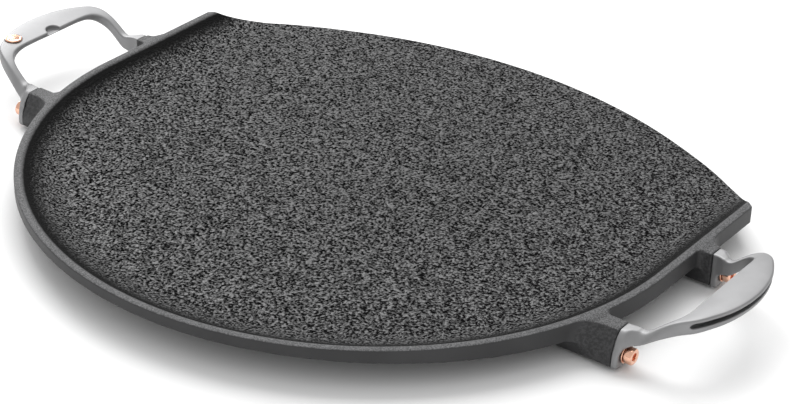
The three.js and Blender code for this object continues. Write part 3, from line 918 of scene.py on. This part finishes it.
def section_table(plate, handle):
    """Sections close together along half a handle, on a smooth curve through the keys."""
    keys = key_sections(plate, handle)
    mirror = np.ones(keys.shape[1])
    mirror[[1, 3]] = -1
    spine = np.vstack([2 * keys[0] - keys[1], keys, keys[-2] * mirror])
    t = (np.arange(KEY_STEPS) / KEY_STEPS)[:, None]
    rows = []
    for a, b, c, d in zip(spine, spine[1:], spine[2:], spine[3:]):
        rows.append(0.5 * (2 * b + (c - a) * t + (2 * a - 5 * b + 4 * c - d) * t ** 2
                           + (3 * b - a - 3 * c + d) * t ** 3))
    table = np.vstack([*rows, keys[-1:]])
    pad = 3 * SOFTEN_STEPS
    longer = np.vstack([
        2 * table[0] - table[pad:0:-1], table, table[-2:-pad - 2:-1] * mirror])
    weight = np.exp(-0.5 * (np.arange(-pad, pad + 1) / SOFTEN_STEPS) ** 2)
    weight /= weight.sum()
    return np.stack([np.convolve(longer[:, i], weight, "valid") for i in range(len(mirror))], 1)


class HandleShape:
    """Distance field of one handle, on the right-hand side of the plate."""

    def __init__(self, left):
        sizes = settings()
        self.plate, self.handle, self.fastener = sizes.plate, sizes.handle, sizes.fastener
        self.left = left
        self.table = section_table(self.plate, self.handle)
        self.start, self.stop = self.table[:, 0:2], self.table[:, 2:4]
        run = self.stop - self.start
        self.width = np.linalg.norm(run, axis=1)
        self.heading = run / self.width[:, None]
        self.middle = rim_centre_y() + self.plate.pair_offset

    def locate(self, x, v):
        """Section number and distance out along the section, for plan points."""
        shape = np.broadcast(x, v).shape
        px, pv = (np.broadcast_to(a, shape).ravel() for a in (x, v))
        number, out = np.empty(px.size), np.empty(px.size)
        for at in range(0, px.size, LOCATE_BLOCK):
            block = slice(at, at + LOCATE_BLOCK)
            dx = px[block, None] - self.start[:, 0]
            dv = pv[block, None] - self.start[:, 1]
            ahead = self.heading[:, 0] * dv - self.heading[:, 1] * dx
            along = self.heading[:, 0] * dx + self.heading[:, 1] * dv
            a, b = ahead[:, :-1], ahead[:, 1:]
            passes = (a < 0) & (b >= 0)
            share = np.where(passes, a / np.where(passes, a - b, 1), 0)
            reach = along[:, :-1] * (1 - share) + along[:, 1:] * share
            width = self.width[:-1] * (1 - share) + self.width[1:] * share
            excess = np.where(passes, np.maximum(np.maximum(-reach, reach - width), 0), 1.0)
            best = excess.argmin(1)
            pick = (np.arange(len(best)), best)
            found = passes[pick]
            number[block] = np.where(found, best + share[pick], 0)
            out[block] = np.where(found, reach[pick], along[:, 0])
        return number.reshape(shape), out.reshape(shape)

    def sample(self, number):
        """Section values at fractional section numbers."""
        index = np.minimum(number.astype(int), len(self.table) - 2)
        share = (number - index)[..., None]
        row = self.table[index] * (1 - share) + self.table[index + 1] * share
        width = np.hypot(row[..., 2] - row[..., 0], row[..., 3] - row[..., 1])
        return np.moveaxis(row, -1, 0), width

    def field(self, x, y, z):
        plate, handle, fastener = self.plate, self.handle, self.fastener
        soft = handle.edge_radius
        v = np.abs(y - self.middle)
        number, out = self.locate(x, v)
        row, width = self.sample(number)
        _, _, _, stop_v, top_in, top_out, thick_in, thick_out, crown, bulge, flare = row
        z = z - plate.height
        share = np.clip(out / width, 0, 1)
        arch = 4 * share * (1 - share)
        top = top_in + (top_out - top_in) * share + crown * arch
        low_in, low_out = top_in - thick_in, top_out - thick_out
        bottom = low_in + (low_out - low_in) * share - 0.3 * MM * arch
        drop = np.clip((top_out - z) / thick_out, 0, 1)
        edge = width + flare * drop + bulge * 4 * drop * (1 - drop)
        body = smooth_max(z - top, bottom - z, soft)
        body = smooth_max(body, -out, soft)
        body = smooth_max(body, out - edge, soft)
        body = np.maximum(body, self.table[0, 0] - x)

        half = handle.slot_height / 2
        beyond = np.maximum(stop_v - handle.slot_half + half, 0)
        middle = top_out - handle.slot_drop - half + handle.slot_slope * (width - out)
        slot = np.hypot(beyond, z - middle) - half
        root = np.maximum(width - handle.slot_depth, handle.slot_web)
        slot = smooth_max(slot, root - out, soft)
        body = smooth_max(body, -slot, 0.5 * MM)

        back, face = foot_planes()
        foot = outline_distance(foot_outline(plate), v - plate.leg_gap, z)
        foot = smooth_max(foot, x - face, 1.5 * MM)
        body = smooth_min(body, foot, 6 * MM)
        # Near its foot the leg keeps off the finger side and stays level with the lug's top.
        relax = 4 * MM * rise(x, face - 2 * MM, face + 14 * MM)
        near_foot = plate.leg_gap - relax - v
        body = smooth_max(body, np.where(x < face + 12 * MM, near_foot, -1), 0.8 * MM)
        ceiling = 12 * MM * rise(x, face + 2 * MM, face + 16 * MM) - plate.lug_drop
        body = smooth_max(body, np.where(x < face + 16 * MM, z - ceiling, -1), 1.2 * MM)
        body = smooth_max(body, back - x, 0.5 * MM)

        gap = fastener.gap
        axis = np.hypot(v - plate.leg_gap - fastener.screw_out, z + fastener.screw_drop)
        hole = fastener.screw_diameter / 2 + gap - axis
        body = np.maximum(body, hole)
        seat = fastener.washer_diameter / 2 + 0.5 * MM - axis
        body = smooth_max(body, np.minimum(seat, x - face), 0.4 * MM)
        if self.left:
            body = self.left_details(body, x, y, z)
        return body

    def left_details(self, body, x, y, z):
        """The half-round notch and the medallion's seat."""
        plate, handle, fastener = self.plate, self.handle, self.fastener
        inner = plate.half_width + handle.grip_inner
        notch = handle.notch_radius - np.hypot(x - inner + 0.4 * MM, y - self.middle)
        notch = np.minimum(notch, z - handle.grip_rise + handle.notch_depth)
        body = smooth_max(body, notch, 0.35 * MM)
        centre, seat = medallion_place()
        axis = np.hypot(x + centre[0], y - centre[1])
        hollow = np.minimum(
            fastener.medallion_diameter / 2 + fastener.gap - axis,
            z + plate.height - seat + fastener.gap)
        pin = np.minimum(
            fastener.medallion_pin / 2 + fastener.gap - axis,
            z + plate.height - seat + handle.slot_drop + handle.slot_height / 2)
        return np.maximum(np.maximum(body, hollow), pin)

    def mesh(self):
        plate, handle = self.plate, self.handle
        reach = plate.leg_gap + plate.lug_base_width + 2 * MM
        low = (foot_planes()[0] - 1 * MM, self.middle - reach, plate.lug_clearance - 1 * MM)
        high = (plate.half_width + handle.grip_inner + handle.grip_width + 2 * MM,
                self.middle + reach, plate.height + handle.grip_rise + 5 * MM)
        return field_mesh(self.field, low, high, HANDLE_STEP)


def medallion_place():
    """Plan centre of the medallion and the height of its seat."""
    plate, handle, fastener = settings().plate, settings().handle, settings().fastener
    x = -(plate.half_width + handle.grip_inner + fastener.medallion_inset)
    y = rim_centre_y() + plate.pair_offset - fastener.medallion_along
    seat = (plate.height + handle.grip_rise + 1.4 * MM + fastener.medallion_proud
            - fastener.medallion_thickness)
    return (x, y), seat


class GRIDDLE_OT_handles(bpy.types.Operator):
    """Forms the two loop handles, each with a slotted grip, two legs and two feet"""

    bl_idname = "griddle.handles"
    bl_label = "Loop handles"

    def execute(self, context):
        steel = finish("satin_steel")
        right = mesh_object("loop_handle_right", *HandleShape(False).mesh(), steel)
        left = mesh_object("loop_handle_left", *mirrored(*HandleShape(True).mesh()), steel)
        for thing, name in ((right, "handle_right"), (left, "handle_left")):
            shade(thing, 60)
            place_piece(thing, "satin_steel", name)
        return {"FINISHED"}


# ---- Fasteners ----

TURNS = 96             # points round a turned piece


def turned_tree(name, sizes, section, axis):
    """Geometry tree of a piece turned about +X or +Z. section(size, angle) lists its points from
    the axis round to the axis again, each a radius and a distance along."""
    tree, size = geometry_tree(name, {**sizes, "Side": 1.0, "X": 0.0, "Y": 0.0, "Z": 0.0})
    angle = grid_number(tree, 0, TURNS + 1) * (2 * math.pi / TURNS)
    points = section(size, angle)
    row = grid_number(tree, 1, len(points))
    picked = []
    for part in (0, 1):
        switch = tree.nodes.new("GeometryNodeIndexSwitch")
        switch.data_type = "FLOAT"
        while len(switch.index_switch_items) < len(points):
            switch.index_switch_items.new()
        put(tree, switch.inputs[0], (row + 0.01).math("FLOOR"))
        for plug, point in zip(switch.inputs[1:], points):
            put(tree, plug, point[part])
        picked.append(Value(tree, switch.outputs[0]))
    radius, along = picked
    first, second = radius * angle.math("COSINE"), radius * angle.math("SINE")
    if axis == "X":
        place = (size["X"] + along * size["Side"], size["Y"] + first, size["Z"] + second)
    else:
        place = (size["X"] + first, size["Y"] + second, size["Z"] + along)
    shape = set_place(tree, unit_grid(tree, TURNS + 1, len(points)), *place)
    finish_tree(tree, welded(tree, [shape]), size["Material"])
    return tree


def arc(radius, along, width, far, steps):
    """Points of a quarter-round edge, at a piece's far end or at its near end."""
    made = []
    for i in range(steps + 1):
        a = math.pi / 2 * (i / steps)
        if far:
            across, ahead = math.cos(a) - 1.0, math.sin(a) - 1.0
        else:
            across, ahead = math.sin(a) - 1.0, 1.0 - math.cos(a)
        made.append((radius + width * across, along + width * ahead))
    return made


def screw_section(size, angle):
    shank, head = size["screw_diameter"] / 2.0, size["head_diameter"] / 2.0
    under, end = size["shank_length"], size["shank_length"] + size["head_length"]
    sixth = math.pi / 3
    fold = (angle + sixth / 2).math("MODULO", sixth) - sixth / 2
    hexagon = size["socket_flats"] / 2.0 / fold.math("COSINE")
    floor = end - size["socket_depth"]
    mouth = size["socket_flats"] * 0.62
    return [
        (0.0, 0.0), (shank - 0.6 * MM, 0.0), (shank, 0.6 * MM), (shank, under),
        (head - 0.3 * MM, under), *arc(head, under, 0.3 * MM, False, 3),
        *arc(head, end, 0.9 * MM, True, 6),
        (mouth + 0.25 * MM, end), (mouth, end - 0.08 * MM),
        (hexagon, end - 0.4 * MM), (hexagon, floor), (hexagon * 0.5, floor - 0.4 * MM),
        (0.0, floor - 0.9 * MM),
    ]


def washer_section(size, angle):
    inner, outer = size["hole_diameter"] / 2.0, size["washer_diameter"] / 2.0
    thick, edge = size["washer_thickness"], 0.2 * MM
    return [
        (inner, edge), (inner + edge, 0.0), (outer - edge, 0.0), *arc(outer, 0.0, edge, False, 3),
        *arc(outer, thick, edge * 1.4, True, 4), (inner + edge, thick), (inner, thick - edge),
        (inner, edge),
    ]


def medallion_section(size, angle):
    pin, radius = size["medallion_pin"] / 2.0, size["medallion_diameter"] / 2.0
    base, top = size["pin_length"], size["pin_length"] + size["medallion_thickness"]
    return [
        (0.0, 0.0), (pin - 0.3 * MM, 0.0), (pin, 0.3 * MM), (pin, base), (radius - 0.2 * MM, base),
        (radius, base + 0.2 * MM), *arc(radius, top, 0.45 * MM, True, 5),
        (radius * 0.84, top), (radius * 0.80, top - 0.16 * MM), (radius * 0.76, top - 0.34 * MM),
        (radius * 0.70, top - 0.36 * MM), (radius * 0.64, top - 0.2 * MM),
        (radius * 0.52, top - 0.06 * MM), (radius * 0.36, top), (radius * 0.18, top + 0.03 * MM),
        (0.0, top + 0.04 * MM),
    ]


def turned_piece(name, tree, sizes, side, x, y, z, node_name):
    """One turned piece in place of its CAD node."""
    thing = mesh_from_tree(name, tree, finish("copper"), {
        **sizes, "Side": float(side), "X": x, "Y": y, "Z": z})
    outward(thing)
    shade(thing, 45)
    place_piece(thing, "copper", node_name)


def four_pieces(kind, prefix, tree, sizes, start):
    """A piece on each screw axis, from this distance out from the middle plane."""
    for side_name, side in SIDES:
        for end_name, end in ENDS:
            name = f"{kind}_{side_name}_{end_name}"
            turned_piece(prefix + name, tree, sizes, side, side * start, *screw_axis(end), name)


def outward(thing):
    """Turns a closed mesh's faces outwards if they point in."""
    mesh = thing.data
    mesh.calc_loop_triangles()
    co = np.array([v.co for v in mesh.vertices])
    a, b, c = (co[[t.vertices[i] for t in mesh.loop_triangles]] for i in range(3))
    if (np.cross(b, c) * a).sum() < 0:
        mesh.flip_normals()


class GRIDDLE_OT_screws(bpy.types.Operator):
    """Makes the four socket screws"""

    bl_idname = "griddle.screws"
    bl_label = "Socket screws"

    def execute(self, context):
        plate, fastener = settings().plate, settings().fastener
        tip = plate.half_width + plate.lug_reach - fastener.screw_grip
        shank = foot_planes()[1] + fastener.washer_thickness + 2 * fastener.gap - tip
        sizes = {"shank_length": shank, **chosen(
            fastener, "screw_diameter", "head_diameter", "head_length", "socket_flats",
            "socket_depth")}
        tree = turned_tree("griddle_socket_screw", sizes, screw_section, "X")
        four_pieces("screw", "socket_", tree, sizes, tip)
        return {"FINISHED"}


class GRIDDLE_OT_washers(bpy.types.Operator):
    """Makes the four washers under the screw heads"""

    bl_idname = "griddle.washers"
    bl_label = "Washers"

    def execute(self, context):
        fastener = settings().fastener
        sizes = {"hole_diameter": fastener.screw_diameter + 2 * fastener.gap,
                 **chosen(fastener, "washer_diameter", "washer_thickness")}
        tree = turned_tree("griddle_washer", sizes, washer_section, "X")
        four_pieces("washer", "flat_", tree, sizes, foot_planes()[1] + fastener.gap)
        return {"FINISHED"}


class GRIDDLE_OT_medallion(bpy.types.Operator):
    """Sets the round medallion into the left grip"""

    bl_idname = "griddle.medallion"
    bl_label = "Medallion"

    def execute(self, context):
        handle, fastener = settings().handle, settings().fastener
        pin = handle.slot_drop + 0.6 * MM
        sizes = {"pin_length": pin, **chosen(
            fastener, "medallion_diameter", "medallion_thickness", "medallion_pin")}
        tree = turned_tree("griddle_medallion", sizes, medallion_section, "Z")
        (x, y), seat = medallion_place()
        turned_piece("grip_medallion", tree, sizes, 1, x, y, seat - pin, "medallion")
        return {"FINISHED"}


# ---- Stage ----

FLOOR_HALF = 6.0       # half of the floor's side
FLOOR_DROP = 0.1 * MM  # floor below the resting surface
SENSOR_WIDTH = 36      # camera sensor, in millimetres


class GRIDDLE_OT_stage(bpy.types.Operator):
    """Sets up the pale floor, the soft studio light and the camera"""

    bl_idname = "griddle.stage"
    bl_label = "Stage"

    def execute(self, context):
        stage = settings().stage
        self.add_floor(stage)
        self.add_lights(stage)
        self.add_camera(stage)
        return {"FINISHED"}

    def add_floor(self, stage):
        material, tree, shader = new_material("pale_floor")
        cloud = noise(tree, 0.4)
        put(tree, shader.inputs["Base Color"], two_tone(tree, cloud, stage.floor, 0.99, 1.01))
        shader.inputs["Roughness"].default_value = 0.7
        shader.inputs["Specular IOR Level"].default_value = 0.0
        points = FLOOR_HALF * np.array([(-1, -1, 0), (1, -1, 0), (1, 1, 0), (-1, 1, 0)])
        floor = mesh_object("studio_floor", points, np.array([(0, 1, 2, 3)]), material)
        floor.location.z = -FLOOR_DROP

    def add_lights(self, stage):
        world = bpy.data.worlds.new("studio_sky")
        world.use_nodes = True
        background = world.node_tree.nodes["Background"]
        background.inputs["Color"].default_value = (1, 1, 1, 1)
        background.inputs["Strength"].default_value = stage.sky
        bpy.context.scene.world = world
        self.add_softbox("key_softbox", stage.key, (2.0, 1.5), (-0.75, 0.95, 2.0))
        self.add_softbox("side_softbox", stage.side, (0.7, 0.4), (-1.7, 0.9, 0.75))

    def add_softbox(self, name, power, size, place):
        """A rectangular light aimed at the plate."""
        light = bpy.data.lights.new(name, "AREA")
        light.shape = "RECTANGLE"
        light.size, light.size_y = size
        light.energy = power
        lamp = bpy.data.objects.new(name, light)
        lamp.location = place
        lamp.rotation_euler = Vector(place).to_track_quat("Z", "Y").to_euler()
        bpy.context.collection.objects.link(lamp)

    def add_camera(self, stage):
        az, el, roll = stage.azimuth, stage.elevation, stage.roll
        back = Vector((math.sin(az) * math.cos(el), -math.cos(az) * math.cos(el), math.sin(el)))
        across = Vector((math.cos(az), math.sin(az), 0))
        up = back.cross(across)
        right = across * math.cos(roll) + up * math.sin(roll)
        top = up * math.cos(roll) - across * math.sin(roll)
        data = bpy.data.cameras.new("view")
        data.lens, data.sensor_width = stage.lens, SENSOR_WIDTH
        data.clip_start, data.clip_end = 0.05, 50
        camera = bpy.data.objects.new("view", data)
        place = Matrix.Translation(Vector(stage.target) + back * stage.distance)
        camera.matrix_world = place @ Matrix((right, top, back)).transposed().to_4x4()
        bpy.context.collection.objects.link(camera)
        bpy.context.scene.camera = camera
        bpy.context.scene.view_settings.view_transform = "Standard"


# ---- Add-on ----

OPERATORS = (
    GRIDDLE_OT_stage, GRIDDLE_OT_plate, GRIDDLE_OT_handles, GRIDDLE_OT_screws,
    GRIDDLE_OT_washers, GRIDDLE_OT_medallion)


class GRIDDLE_PT_build(bpy.types.Panel):
    """Lists the pieces in the order that they are built"""

    bl_idname = "GRIDDLE_PT_build"
    bl_label = "Griddle plate"
    bl_space_type = "VIEW_3D"
    bl_region_type = "UI"
    bl_category = "Griddle"

    def draw(self, context):
        for operator in OPERATORS:
            self.layout.operator(operator.bl_idname)
        groups = context.scene.griddle
        for name in ("plate", "handle", "fastener", "finish", "stage"):
            box = self.layout.box()
            box.label(text=name.capitalize())
            group = getattr(groups, name)
            for key in group.__annotations__:
                box.prop(group, key, text=key.replace("_", " ").capitalize())


CLASSES = (
    PlateSizes, HandleSizes, FastenerSizes, Finishes, StageSizes, GriddleSettings,
    *OPERATORS, GRIDDLE_PT_build)


def register():
    for item in CLASSES:
        bpy.utils.register_class(item)
    bpy.types.Scene.griddle = PointerProperty(type=GriddleSettings)


def unregister():
    del bpy.types.Scene.griddle
    for item in reversed(CLASSES):
        bpy.utils.unregister_class(item)


def main():
    register()
    bpy.ops.griddle.stage()
    bpy.ops.griddle.plate()
    bpy.ops.griddle.handles()
    bpy.ops.griddle.screws()
    bpy.ops.griddle.washers()
    bpy.ops.griddle.medallion()


if __name__ == "__main__":
    main()
